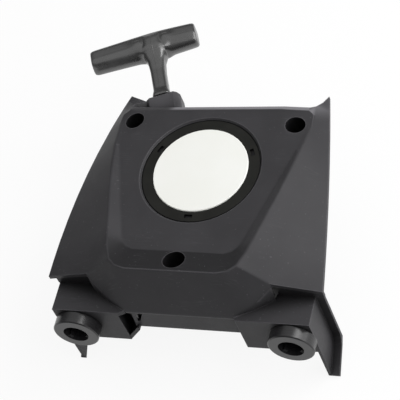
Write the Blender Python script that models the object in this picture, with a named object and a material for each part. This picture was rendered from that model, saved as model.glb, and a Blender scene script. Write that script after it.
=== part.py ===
"""Recoil starter for a small engine: moulded cover, rope reel, rewind spring, pawls and T handle.

Lengths are in millimetres and are scaled to metres when a mesh is made. The origin is on the crank
axis, in the plane of the mounting rim. +Z points out of the front, +Y towards the rope outlet.
"""
import math

import bmesh
import bpy
from mathutils import Matrix, Vector

MM = 0.001
CLEAR = 0.3
SEAM = 0.1
ROUND_STEPS = 48
FINE_STEPS = 20

# Cover form, as points (x, y, z) on its right half
FACE_Z = 55.0
WALL = 2.6
SKIN_DROP = 3.6
EDGE_SOFT = 1.5
# Flat front panel, from its top edge down to the middle of its foot
PANEL = (
    (52.0, 57.0, 54.7), (56.0, 43.0, 55.0), (72.3, 20.0, 55.0), (67.0, 0.0, 55.0), (61.2, -20.0, 55.0),
    (55.4, -40.0, 55.0), (49.6, -60.0, 55.0), (47.0, -67.5, 55.0), (43.0, -72.6, 55.0), (36.5, -74.5, 55.0),
)
# Ridge round the panel, which stands above it lower down
RIDGE = (
    (78.5, 57.0, 50.9), (78.9, 43.0, 51.8), (76.6, 20.0, 56.0), (72.8, 0.0, 58.0), (68.5, -20.0, 58.9),
    (64.1, -40.0, 59.7), (59.4, -60.0, 60.4), (55.6, -76.0, 60.8), (51.2, -87.3, 60.8), (45.6, -92.8, 60.8),
    (36.5, -95.0, 60.8),
)
# Rolled top edge, as steps in y and z from the panel's edge, at two x
TOP_ROLL = ((3.0, -0.7), (5.6, -2.2), (7.6, -4.4))
TOP_ROLL_X = (52.0, 74.0)
TOP_ROLL_FALL = 1.9
TOP_WALL_Y = 65.8
LEFT_DIP = 4.0
TOP_WALL_Z = 47.8
HORN_INNER = ((76.7, 68.3, 46.2), (79.9, 74.6, 42.5))
# The left horn is wider and reaches the rope outlet, with a notch before it
LEFT_HORN_INNER = ((75.2, 66.5, 45.6), (67.0, 72.8, 40.6))
LEFT_NOTCH = (66.5, 66.0, 37.0)
# Arched outer edge of a flank: x and z fall off along y
FLANK_X = 99.3
FLANK_LEAN = 0.167
FLANK_BOW = 0.00044
FLANK_CREST = (20.0, 41.9)
FLANK_ARCH = 0.00093
HORN_Y = 84.0
LEFT_HORN_Y = 79.5
FLANK_FOOT_Y = -88.4
POCKET_CORNER = (74.0, -91.5, 43.5)
LOWER_BEND = (60.0, -101.0, 32.5)
LOWER_EDGE_Y = -110.0
LOWER_EDGE_Z = 24.0
LOWER_EDGE_HALF = 44.0
WALL_INSET = 11.5
TRIM_Z = 90.0
RIM_Z = 0.4
RIB_ANGLES = (0.0, 60.0, 100.0, 172.0, 205.0, 240.0, 300.0, 335.0)
RIB_THICKNESS = 2.0
RIB_FOOT = 26.0
# Two openings in the lower wall beside the left foot, as (x, z) outlines with a slanted rib between
LOWER_OPENINGS = (
    ((-45.5, 19.0), (-45.5, -1.0), (-41.6, -1.0), (-39.3, 19.0)),
    ((-37.8, 8.0), (-35.6, 8.0), (-31.0, 19.0), (-36.7, 19.0)),
)
# Slanted plate that closes the rear of these openings, as an (x, z) outline
REAR_PLATE = ((-51.0, -15.2), (-49.6, -15.3), (-38.0, -0.6), (-38.0, 2.6), (-39.4, 2.6), (-51.0, -12.2))
SEAT_DEPTH = 5.0
RECESS_CHAMFER = 1.6

# Foot blocks, side plates and bushes
BLOCK_FACE_Z = 23.5
SILL = ((73.4, -93.2, BLOCK_FACE_Z), (59.0, -103.0, BLOCK_FACE_Z), (44.5, -110.4, BLOCK_FACE_Z))
BLOCK_REAR_Z = -15.5
BLOCK_INNER_X = 45.5
LEFT_INNER_X = 49.5
SLOT_TOP_Z = 19.4
BLOCK_OUTER_X = 103.5
BLOCK_BOTTOM_Y = -113.0
LEDGE_Y = -88.0
PLATE_THICKNESS = 2.5
RIGHT_FLANGE = 7.0
LEFT_FLANGE = 2.0
FLANGE_TOP_Z = -36.0
FLANGE_FOOT_Z = -50.5
BUSH_X = 87.0
BUSH_Z = 4.6
BUSH_RADIUS = 18.0
BUSH_BORE = 10.0
BUSH_LENGTH = 10.0
BUSH_SPIGOT = 13.6
SPIGOT_LENGTH = 0.64 * (LEDGE_Y - BLOCK_BOTTOM_Y)
BUSH_KEY = 1.6
BUSH_CHAMFER = 0.8
BUSH_STEPS = 36
KEY_ANGLES = (45.0, 135.0, 225.0, 315.0)

# Screw access wells
WELLS = ((-66.5, 45.0, 7.8), (66.5, 45.0, 7.8), (0.0, -83.5, 8.6))
WELL_WALL = 2.4
SEAT_THICKNESS = 4.0
WELL_STEPS = 28
SCREW_RADIUS = 2.8

# Badge
BADGE_RADIUS = 47.3
BADGE_THICKNESS = 1.6
BADGE_SINK = 1.5
DISC_RADIUS = 38.0
DISC_THICKNESS = 1.4
DISC_PROUD = 1.0
CLIP_RADIUS = (BADGE_RADIUS + DISC_RADIUS) / 2 - 0.6
CLIP_ANGLES = (26.0, 154.0, 270.0)
CLIP_LENGTH = 6.4
CLIP_WIDTH = 3.0

# Rope, reel and spring
ROPE_RADIUS = 2.0
ROPE_PITCH = 4.5
REEL_ROPE_START = 24.0
ROPE_TURNS = 4.0
REEL_RADIUS = 45.0
REEL_FLANGE = 2.6
REEL_GROOVE = 5.2
GROOVE_FLARE = 0.6
TURN_STEPS = 24
SPRING_CASE_RADIUS = 40.0
SPRING_CASE_DEPTH = 11.0
SHEET = 1.4
SPRING_TURNS = 6.0
SPRING_STRIP = 0.9
ARBOR_RADIUS = 12.0
POST_RADIUS = 6.0
SLEEVE_RADIUS = 8.0
SHROUD_WALL = 2.4

# Pawls, guide and reel screw
PAWL_THICKNESS = 5.0
PAWL_PIVOT = 17.0
PAWL_LENGTH = 15.0
PAWL_HEEL = 4.4
PAWL_PIN = 2.0
PEG_REACH = 9.0
PEG_RADIUS = 1.5
GUIDE_SWING = 30.0
PAWL_SWING = 28.0
GUIDE_RADIUS = 27.5
DRAG_SPRING_HEIGHT = 4.6
DRAG_SPRING_WIRE = 0.5
DRAG_SPRING_TURNS = 2.25
WASHER_RADIUS = 12.0
SCREW_HEAD = 6.0
SCREW_HEAD_HEIGHT = 3.4
SCREW_DEPTH = 14.0
SCREW_SHANK = 2.0
PIN_DEPTH = 6.0
PEG_PROUD = 0.8
WINDOWS = 5
WINDOW_SPOKE = 9.0
WINDOW_INNER = 14.0
WINDOW_OUTER = 4.5

# Rope outlet and handle
OUTLET = (-59.3, 82.8)
ROPE_LEAN = 22.0
OUTLET_LEFT = 14.5
OUTLET_RIGHT = 15.5
OUTLET_DEPTH = 33.0
OUTLET_FRONT = 11.0
EYELET_RADIUS = 6.0
EYELET_BORE = 2.7
EYELET_LENGTH = 12.0
GRIP_LEFT = 53.0
GRIP_RIGHT = 36.6
GRIP_YAW = 1.5
GRIP_HALF_DEPTH = 8.1
GRIP_HALF_HEIGHT = 8.9
GRIP_HEIGHT = 57.0
STEM_RADIUS = 6.3
KNOT_RADIUS = 4.6
KNOT_POCKET = 6.4
KNOT_DEPTH = 15.0
CAP_THICKNESS = 3.4
CAP_SINK = 1.6
GRIP_BULGE = 1.22
GRIP_SQUARE = 0.5
GRIP_SECTIONS = ((-1.0, 0.93), (-0.98, 1.01), (-0.94, 1.06), (-0.6, 1.12), (-0.3, 1.18), (0.0, GRIP_BULGE),
                 (0.3, 1.2), (0.6, 1.15), (0.92, 1.09), (0.975, 1.05), (1.0, 0.95))
STEM_SECTIONS = ((0.0, 1.25), (0.05, 1.2), (0.14, 1.0), (0.5, 1.0), (0.68, 1.12), (0.8, 1.5), (0.9, 1.9),
                 (1.0, 2.1))
STEM_DEEPEST = 1.25
OUTLET_CHAMFER = 5.0
LANE_HALF = 5.0

# Levels of the stack behind the front panel
RECESS_Z = FACE_Z - BADGE_SINK - BADGE_THICKNESS - CLEAR
FLOOR_Z = RECESS_Z - WALL
CASE_TOP = FLOOR_Z - CLEAR
LID_TOP = CASE_TOP - SPRING_CASE_DEPTH - CLEAR
REEL_TOP = LID_TOP - SHEET - CLEAR
GROOVE_TOP = REEL_TOP - REEL_FLANGE
GROOVE_FOOT = GROOVE_TOP - REEL_GROOVE
REEL_FOOT = GROOVE_FOOT - REEL_FLANGE
ROPE_Z = (GROOVE_TOP + GROOVE_FOOT) / 2
PAWL_TOP = REEL_FOOT - CLEAR
PAWL_FOOT = PAWL_TOP - PAWL_THICKNESS
PIN_HEAD = 1.0
GUIDE_TOP = PAWL_FOOT - CLEAR - PIN_HEAD - CLEAR
GUIDE_FOOT = GUIDE_TOP - SHEET
WASHER_TOP = GUIDE_FOOT - DRAG_SPRING_HEIGHT - 2 * CLEAR
POST_FOOT = WASHER_TOP + CLEAR
WASHER_FOOT = WASHER_TOP - SHEET
HEAD_TOP = WASHER_FOOT - CLEAR
REEL_ROPE_END = REEL_ROPE_START + ROPE_PITCH * ROPE_TURNS
GROOVE_RADIUS = REEL_ROPE_START - ROPE_RADIUS - CLEAR
SHROUD_RADIUS = REEL_RADIUS + 2.0

ROPE_OUT = Vector((-math.sin(math.radians(ROPE_LEAN)), math.cos(math.radians(ROPE_LEAN)), 0.0))
ROPE_SIDE = Vector((ROPE_OUT.y, -ROPE_OUT.x, 0.0))
OUTLET_POINT = Vector((OUTLET[0], OUTLET[1], ROPE_Z))


# Materials
def finish(name, colour, roughness, metallic=0.0):
    material = bpy.data.materials.new(name)
    material.use_nodes = True
    shader = material.node_tree.nodes["Principled BSDF"]
    shader.inputs["Base Color"].default_value = (*colour, 1.0)
    shader.inputs["Roughness"].default_value = roughness
    shader.inputs["Metallic"].default_value = metallic
    return material


# Mesh helpers
def body(name, points, faces):
    mesh = bpy.data.meshes.new(name)
    mesh.from_pydata([Vector(p) * MM for p in points], [], faces)
    mesh.update()
    thing = bpy.data.objects.new(name, mesh)
    bpy.context.scene.collection.objects.link(thing)
    return thing


def face_outwards(thing):
    bm = bmesh.new()
    bm.from_mesh(thing.data)
    bmesh.ops.recalc_face_normals(bm, faces=bm.faces)
    bm.to_mesh(thing.data)
    bm.free()
    return thing


def prism(name, outline, low, high):
    """Outline of (x, y) points, extruded along Z."""
    count = len(outline)
    points = [(x, y, low) for x, y in outline] + [(x, y, high) for x, y in outline]
    sides = [(i, (i + 1) % count, count + (i + 1) % count, count + i) for i in range(count)]
    caps = [tuple(range(count)), tuple(range(count, 2 * count))]
    return face_outwards(body(name, points, sides + caps))


def turned(name, profile, steps=ROUND_STEPS):
    """Closed (radius, z) profile turned about Z. Points on the axis share one vertex."""
    points, rings = [], []
    for radius, z in profile:
        if radius == 0.0:
            rings.append([len(points)] * steps)
            points.append((0.0, 0.0, z))
            continue
        rings.append(list(range(len(points), len(points) + steps)))
        for i in range(steps):
            angle = 2 * math.pi * i / steps
            points.append((radius * math.cos(angle), radius * math.sin(angle), z))
    faces = []
    for lower, upper in zip(rings, rings[1:] + rings[:1]):
        for i in range(steps):
            j = (i + 1) % steps
            corners = [lower[i], lower[j], upper[j], upper[i]]
            corners = list(dict.fromkeys(corners))
            if len(corners) > 2:
                faces.append(corners)
    return face_outwards(plain_caps(body(name, points, faces)))


def plain_caps(thing):
    """Turns each fan of triangles round the axis into one flat face."""
    bm = bmesh.new()
    bm.from_mesh(thing.data)
    bmesh.ops.dissolve_limit(bm, angle_limit=0.001, verts=bm.verts, edges=bm.edges)
    bm.to_mesh(thing.data)
    bm.free()
    return thing


def cylinder(name, radius, low, high, centre=(0.0, 0.0), steps=ROUND_STEPS):
    return prism(name, arc(centre, radius, 0.0, 360.0 - 360.0 / steps, steps - 1), low, high)


def moved(thing, matrix):
    thing.data.transform(matrix)
    return thing


def frame(origin, right, up):
    """Matrix that takes X to right, Z to up and the origin to a point in millimetres."""
    ahead = up.cross(right)
    matrix = Matrix((right, ahead, up)).transposed().to_4x4()
    matrix.translation = Vector(origin) * MM
    return matrix


def baked(thing):
    """Replaces the mesh by the one that its modifiers give."""
    evaluated = thing.evaluated_get(bpy.context.evaluated_depsgraph_get())
    mesh = bpy.data.meshes.new_from_object(evaluated)
    thing.modifiers.clear()
    thing.data = mesh
    return thing


def combine(target, tools, operation):
    for tool in tools:
        step = target.modifiers.new(operation, "BOOLEAN")
        step.operation = operation
        step.solver = "EXACT"
        step.object = tool
        baked(target)
        bpy.data.objects.remove(tool)
    return target


def cut(target, *tools):
    return combine(target, tools, "DIFFERENCE")


def join(target, *tools):
    return combine(target, tools, "UNION")


def tube(name, points, radius, sides=8):
    """Round tube through points, with flat ends square to its first and last run."""
    count = len(points)
    spots, faces = [], []
    normal = None
    for i, point in enumerate(points):
        ahead = (points[min(i + 1, count - 1)] - points[max(i - 1, 0)]).normalized()
        if normal is None:
            normal = ahead.orthogonal()
        normal = (normal - ahead * normal.dot(ahead)).normalized()
        across = ahead.cross(normal)
        for k in range(sides):
            angle = 2 * math.pi * k / sides
            spots.append(point + (normal * math.cos(angle) + across * math.sin(angle)) * radius)
    for i in range(count - 1):
        for k in range(sides):
            m = (k + 1) % sides
            faces.append((i * sides + k, i * sides + m, (i + 1) * sides + m, (i + 1) * sides + k))
    faces.append(tuple(range(sides)))
    faces.append(tuple(range((count - 1) * sides, count * sides)))
    return face_outwards(body(name, spots, faces))


def arc(centre, radius, start, end, steps):
    """Points on an arc, angles in degrees."""
    angles = [math.radians(start + (end - start) * i / steps) for i in range(steps + 1)]
    return [(centre[0] + radius * math.cos(a), centre[1] + radius * math.sin(a)) for a in angles]


def mirrored(outline):
    return [(-x, y) for x, y in reversed(outline)]


def set_down(thing, material, parent, origin=(0.0, 0.0, 0.0), crease=32.0):
    """Gives a finished piece its material, its parent and an origin on its own axis."""
    spot = Vector(origin) * MM
    thing.data.transform(Matrix.Translation(-spot))
    thing.data.materials.clear()
    thing.data.materials.append(material)
    thing.data.shade_smooth()
    thing.data.set_sharp_from_angle(angle=math.radians(crease))
    thing.parent = parent
    thing.location = spot - parent.matrix_world.translation
    return thing


def empty(name, origin, parent=None):
    thing = bpy.data.objects.new(name, None)
    bpy.context.scene.collection.objects.link(thing)
    thing.location = Vector(origin) * MM
    if parent:
        thing.parent = parent
        thing.location = Vector(origin) * MM - parent.matrix_world.translation
    bpy.context.view_layer.update()
    return thing


# Cover
def flank_edge(y):
    """Point on the arched outer edge of the right flank."""
    x = FLANK_X - FLANK_LEAN * y - FLANK_BOW * y * y
    return (x, y, FLANK_CREST[1] - FLANK_ARCH * (y - FLANK_CREST[0]) ** 2)


def half_surface(side):
    """Named points of one half of the cover's skin, its faces and its softened edges."""
    mark = "r" if side > 0 else "l"
    points, faces, soft = {}, [], []

    dip = LEFT_DIP if side < 0 else 0.0

    def put(name, spot, down=0.0):
        points[name + mark] = (side * spot[0], spot[1] - down, spot[2])
        return name + mark

    def chain(name, spots):
        return [put(name + str(i), spot) for i, spot in enumerate(spots)]

    panel = chain("panel", PANEL)
    put("panel0", PANEL[0], dip)
    ridge = chain("ridge", RIDGE)
    put("ridge0", RIDGE[0], dip)
    edge = []
    for i, spot in enumerate(RIDGE[:8]):
        edge.append(put("edge" + str(i), flank_edge(spot[1] - (dip if i == 0 else 0.0))))
    corner = put("corner", flank_edge(FLANK_FOOT_Y))
    pocket = put("pocket", POCKET_CORNER)
    bend = put("bend", LOWER_BEND)
    lower = put("lower", (LOWER_EDGE_HALF, LOWER_EDGE_Y, LOWER_EDGE_Z))
    sills = chain("sill", SILL)
    near_x, far_x = TOP_ROLL_X
    brow, brow_end = [panel[0]], [ridge[0]]
    for i, (along, fall) in enumerate(TOP_ROLL):
        y, z = PANEL[0][1] + along, PANEL[0][2] + fall
        brow.append(put("brow" + str(i), (near_x, y, z), dip))
        drop = TOP_ROLL_FALL * (1 - i / len(TOP_ROLL))
        brow_end.append(put("brow_end" + str(i), (far_x, y, z - drop), dip))
    brow.append(put("wall", (near_x, TOP_WALL_Y, TOP_WALL_Z), dip))
    brow_end.append(put("wall_end", (far_x - 2.0, TOP_WALL_Y, TOP_WALL_Z), dip))
    horn = put("horn", flank_edge(HORN_Y if side > 0 else LEFT_HORN_Y))
    horn_spots = HORN_INNER if side > 0 else LEFT_HORN_INNER
    inner = chain("horn_inner", horn_spots)
    outer = [put("horn_outer" + str(i), flank_edge(spot[1])) for i, spot in enumerate(horn_spots)]

    # Panel corners by the screw wells, walls round the panel and flank
    faces.append([panel[0], panel[1], ridge[1], ridge[0]])
    faces.append([panel[1], panel[2], ridge[2], ridge[1]])
    for i in range(2, 9):
        faces.append([panel[i], panel[i + 1], ridge[i + 1], ridge[i]])
    faces.append([panel[9], ridge[10], ridge[9]])
    for i in range(7):
        faces.append([ridge[i], ridge[i + 1], edge[i + 1], edge[i]])
    faces.append([ridge[7], pocket, corner, edge[7]])
    faces.append([ridge[7], ridge[8], pocket])
    # Lower face and wall down to the foot block
    faces.append([ridge[8], ridge[9], bend, pocket])
    faces.append([ridge[9], ridge[10], lower, bend])
    faces.append([pocket, bend, sills[1], sills[0]])
    faces.append([bend, lower, sills[2], sills[1]])
    # Top edge and horn
    for i in range(len(brow) - 1):
        faces.append([brow[i + 1], brow[i], brow_end[i], brow_end[i + 1]])
    for low, high in zip(brow_end[1:], brow_end[2:]):
        faces.append([high, low, inner[0]])
    faces.append([brow_end[1], ridge[0], edge[0], outer[0], inner[0]])
    faces.append([inner[0], outer[0], outer[1], inner[1]])
    faces.append([inner[1], outer[1], horn])
    soft += list(zip(ridge[1:], ridge[2:])) + list(zip(panel[2:], panel[3:]))
    soft += [(panel[0], ridge[0]), (ridge[8], pocket)]
    if side < 0:
        notch = put("notch", LEFT_NOTCH)
        faces.append([brow_end[-1], inner[0], notch])
        faces.append([inner[0], inner[1], notch])
        faces = [face[::-1] for face in faces]
    return points, faces, soft


def cover_surface():
    """Points and triangles of the cover's outer skin, with its main edges softened."""
    points, faces, soft = half_surface(1)
    left = half_surface(-1)
    points.update(left[0])
    faces += left[1]
    soft += left[2]
    names = ["panel" + str(i) for i in range(len(PANEL))]
    faces.append([name + "l" for name in names] + [name + "r" for name in reversed(names)])
    roll = ["panel0"] + ["brow" + str(i) for i in range(len(TOP_ROLL))] + ["wall"]
    across = [("panel9", "ridge10"), ("ridge10", "lower")] + list(zip(roll[1:], roll))
    for upper, lower in across:
        faces.append([upper + "l", lower + "l", lower + "r", upper + "r"])
    soft += [(name + "l", name + "r") for name in ("panel9", "ridge10", "panel0")]
    order = list(points)
    index = {key: i for i, key in enumerate(order)}
    skin = body("skin", [points[key] for key in order], [[index[key] for key in face] for face in faces])
    bm = bmesh.new()
    bm.from_mesh(skin.data)
    bm.verts.ensure_lookup_table()
    bmesh.ops.recalc_face_normals(bm, faces=bm.faces)
    edges = [bm.edges.get((bm.verts[index[a]], bm.verts[index[b]])) for a, b in soft]
    width = EDGE_SOFT * MM
    bmesh.ops.bevel(
        bm, geom=edges, offset=width, segments=2, profile=0.5, affect="EDGES", clamp_overlap=True
    )
    bmesh.ops.triangulate(bm, faces=bm.faces)
    bmesh.ops.recalc_face_normals(bm, faces=bm.faces)
    bm.verts.index_update()
    spots = [tuple(v.co / MM) for v in bm.verts]
    triangles = [[v.index for v in face.verts] for face in bm.faces]
    bm.free()
    bpy.data.objects.remove(skin)
    return spots, triangles


def skin_slab(name, points, faces, down, flat_top=None):
    """Solid between the lowered skin and the skin itself or a flat top, in triangles."""
    count = len(points)
    low = [(x, y, z - down) for x, y, z in points]
    high = [(x, y, z if flat_top is None else flat_top) for x, y, z in points]
    edges = {(a, b) for face in faces for a, b in zip(face, face[1:] + face[:1])}
    rim = [(a, b) for a, b in edges if (b, a) not in edges]
    sides = [[b, a, a + count, b + count] for a, b in rim]
    slab = body(name, low + high, faces + [[i + count for i in face] for face in faces] + sides)
    bm = bmesh.new()
    bm.from_mesh(slab.data)
    bmesh.ops.triangulate(bm, faces=bm.faces)
    bm.to_mesh(slab.data)
    bm.free()
    return face_outwards(slab)


def cover_walls():
    """Half outline of the wall behind the flanks, round the pockets and along the lower edge."""
    side_x = flank_edge(LEDGE_Y)[0] - WALL_INSET
    return [
        (LOWER_EDGE_HALF, LOWER_EDGE_Y + CLEAR),
        (LOWER_EDGE_HALF, LEDGE_Y + CLEAR),
        (side_x, LEDGE_Y + CLEAR),
        (flank_edge(PANEL[0][1])[0] - WALL_INSET, PANEL[0][1] - LEFT_DIP),
        (TOP_ROLL_X[1] - WALL_INSET / 2, TOP_WALL_Y - LEFT_DIP - CLEAR),
    ]


def shrunk(outline, gap):
    """Outline moved inwards by a gap, for corners in counter-clockwise order."""
    result = []
    count = len(outline)
    for i in range(count):
        here = Vector(outline[i])
        before = (here - Vector(outline[i - 1])).normalized()
        after = (Vector(outline[(i + 1) % count]) - here).normalized()
        inward = Vector((-before.y, before.x)) + Vector((-after.y, after.x))
        inward *= gap / (1.0 + before.dot(after))
        result.append((here.x + inward.x, here.y + inward.y))
    return result


def ring(name, inner, outer, low, high, steps=ROUND_STEPS):
    return turned(name, [(inner, low), (outer, low), (outer, high), (inner, high)], steps)


def box(name, low, high):
    outline = [(low[0], low[1]), (high[0], low[1]), (high[0], high[1]), (low[0], high[1])]
    return prism(name, outline, low[2], high[2])


def side_prism(name, outline, low, high):
    """Outline of (y, z) points, extruded along X."""
    thing = prism(name, outline, low, high)
    return face_outwards(moved(thing, Matrix(((0, 0, 1, 0), (1, 0, 0, 0), (0, 1, 0, 0), (0, 0, 0, 1)))))


def inner_walls(points, faces):
    """Walls, wells, post and ribs behind the skin, trimmed to end inside it."""
    loop = cover_walls() + mirrored(cover_walls())
    walls = prism("walls", loop, RIM_Z, TRIM_Z)
    cut(walls, prism("cavity", shrunk(loop, WALL), -1.0, TRIM_Z + 1.0))
    top = TRIM_Z - 1.0
    reach = max(math.hypot(x, y) for x, y in loop)
    for angle in RIB_ANGLES:
        half = RIB_THICKNESS / 2
        rib = box("rib", (SHROUD_RADIUS + CLEAR, -half, RIB_FOOT), (reach, half, top))
        moved(rib, Matrix.Rotation(math.radians(angle), 4, "Z"))
        combine(rib, [prism("inside", shrunk(loop, WALL / 2), 0.0, TRIM_Z)], "INTERSECT")
        join(walls, rib)
    for x, y, radius in WELLS:
        join(walls, cylinder("well", radius + WELL_WALL, 0.0, top - 1.0, (x, y), WELL_STEPS))
    seat = SPRING_CASE_RADIUS + CLEAR
    join(
        walls,
        cylinder("floor", BADGE_RADIUS + WALL, FLOOR_Z, top - 2.0),
        ring("shroud", SHROUD_RADIUS, SHROUD_RADIUS + SHROUD_WALL, REEL_FOOT, FLOOR_Z + 1.0),
        ring("case_seat", seat, seat + WALL, CASE_TOP - SEAT_DEPTH, FLOOR_Z + 1.0),
        cylinder("post", POST_RADIUS, POST_FOOT, FLOOR_Z + 1.0, steps=FINE_STEPS),
    )
    for side in (1, -1):
        flange = RIGHT_FLANGE if side > 0 else LEFT_FLANGE
        ends = (side * (POCKET_CORNER[0] - 2.0), side * (BLOCK_OUTER_X + flange - CLEAR))
        inner, outer = sorted(ends)
        low = BLOCK_FACE_Z - WALL / 2
        join(walls, box("ledge", (inner, LEDGE_Y, low), (outer, LEDGE_Y + PLATE_THICKNESS, top - 3.0)))
    return cut(walls, skin_slab("above", points, faces, SKIN_DROP / 2, flat_top=TRIM_Z + 2.0))


def foot_block(side):
    """Hollow foot with its side plate, ledge and flange, open to the rear."""
    inner_x = BLOCK_INNER_X if side > 0 else LEFT_INNER_X
    outline = [
        (LOWER_EDGE_HALF, LOWER_EDGE_Y - CLEAR),
        (inner_x, BLOCK_BOTTOM_Y),
        (BLOCK_OUTER_X, BLOCK_BOTTOM_Y),
        (BLOCK_OUTER_X, LEDGE_Y + 2 * SEAM),
        (POCKET_CORNER[0], LEDGE_Y + 2 * SEAM),
        (SILL[0][0] - 1.0, SILL[0][1] + CLEAR),
        (SILL[1][0], SILL[1][1] + CLEAR),
    ]
    block = prism("block", outline, BLOCK_REAR_Z, BLOCK_FACE_Z)
    hollow_low = (inner_x + WALL, BLOCK_BOTTOM_Y + WALL, BLOCK_REAR_Z - 1.0)
    hollow_high = (BLOCK_OUTER_X - PLATE_THICKNESS, LEDGE_Y + 1.0, BLOCK_FACE_Z - WALL)
    cut(block, box("hollow", hollow_low, hollow_high))
    inner = BLOCK_OUTER_X - PLATE_THICKNESS
    web = [
        (LEDGE_Y + 1.0, BLOCK_FACE_Z - 1.0),
        (BLOCK_BOTTOM_Y + SEAM, BLOCK_FACE_Z - 1.0),
        (BLOCK_BOTTOM_Y + SEAM, FLANGE_FOOT_Z),
        (LEDGE_Y + 1.0, FLANGE_TOP_Z - PLATE_THICKNESS),
    ]
    strip = [
        (LEDGE_Y + SEAM, BLOCK_FACE_Z - 1.1),
        (LEDGE_Y + SEAM, FLANGE_TOP_Z + 5.0),
        (LEDGE_Y - 1.6, FLANGE_TOP_Z + 0.6),
        (LEDGE_Y - 5.0, FLANGE_TOP_Z - 3.4),
        (BLOCK_BOTTOM_Y - CLEAR, FLANGE_FOOT_Z + CLEAR),
        (BLOCK_BOTTOM_Y + 0.8, FLANGE_FOOT_Z - PLATE_THICKNESS),
        (LEDGE_Y - 3.6, FLANGE_TOP_Z - 3.4 - PLATE_THICKNESS),
        (LEDGE_Y + PLATE_THICKNESS - SEAM, FLANGE_TOP_Z - 1.0),
        (LEDGE_Y + PLATE_THICKNESS - SEAM, BLOCK_FACE_Z - 1.1),
    ]
    outer = BLOCK_OUTER_X + (RIGHT_FLANGE if side > 0 else LEFT_FLANGE) - 2 * CLEAR
    holder = along_y(
        ring("holder", BUSH_SPIGOT + CLEAR, BUSH_SPIGOT + CLEAR + WALL, 0.0, SPIGOT_LENGTH, FINE_STEPS),
        (BUSH_X, BLOCK_BOTTOM_Y + CLEAR, BUSH_Z),
    )
    web_plate = side_prism("web", web, inner + SEAM, BLOCK_OUTER_X - SEAM)
    roof_low = (BLOCK_INNER_X - 1.0, LEDGE_Y + SEAM, BLOCK_REAR_Z + SEAM)
    roof_high = (BLOCK_OUTER_X - 1.0, LEDGE_Y + PLATE_THICKNESS - SEAM, BLOCK_FACE_Z - 1.0)
    flange = side_prism("strip", strip, inner + 2 * SEAM, outer)
    join(block, web_plate, flange, box("roof", roof_low, roof_high), holder)
    hole = cylinder("spigot_hole", BUSH_SPIGOT + CLEAR, -5.0, WALL + 2.0, steps=FINE_STEPS)
    cut(block, along_y(hole, (BUSH_X, BLOCK_BOTTOM_Y, BUSH_Z)))
    if side < 0:
        moved(block, Matrix.Scale(-1.0, 4, Vector((1.0, 0.0, 0.0))))
        face_outwards(block)
    return block


def upright(name, outline, low, high):
    """Outline of (x, z) points, extruded along Y."""
    return along_y(prism(name, [(x, -z) for x, z in outline], low, high), (0.0, 0.0, 0.0))


def along_y(thing, origin):
    """Turns a piece made along Z so that it points along +Y from a place."""
    return moved(thing, frame(origin, Vector((1.0, 0.0, 0.0)), Vector((0.0, 1.0, 0.0))))


def outlet_frame():
    return frame(OUTLET_POINT, ROPE_SIDE, ROPE_OUT)


def outlet_block():
    """Block round the rope eyelet, square to the rope."""
    block = box("outlet", (-OUTLET_LEFT, -OUTLET_FRONT, -OUTLET_DEPTH), (OUTLET_RIGHT, OUTLET_FRONT, 0.0))
    soft = block.modifiers.new("edges", "BEVEL")
    soft.width = OUTLET_CHAMFER * MM
    soft.segments = 2
    soft.profile = 0.35
    baked(block)
    return moved(block, outlet_frame())


def rope_lane():
    """Clear lane for the rope from the reel to the eyelet."""
    start, end = rope_tangent(), eyelet_inner()
    ahead = (end - start).normalized()
    across = Vector((-ahead.y, ahead.x, 0.0)) * LANE_HALF
    start = start + ahead * LANE_HALF
    corners = [start - across, end - across, end + across, start + across]
    return prism("lane", [(c.x, c.y) for c in corners], ROPE_Z - LANE_HALF, ROPE_Z + LANE_HALF)


def eyelet_inner():
    return OUTLET_POINT - ROPE_OUT * EYELET_LENGTH


def rope_tangent():
    """Point where the rope leaves the outer turn on the reel."""
    aim = eyelet_inner() - ROPE_OUT * (EYELET_LENGTH / 2)
    reach = math.hypot(aim.x, aim.y)
    angle = math.atan2(aim.y, aim.x) + math.acos(REEL_ROPE_END / reach)
    return Vector((REEL_ROPE_END * math.cos(angle), REEL_ROPE_END * math.sin(angle), ROPE_Z))


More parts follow.
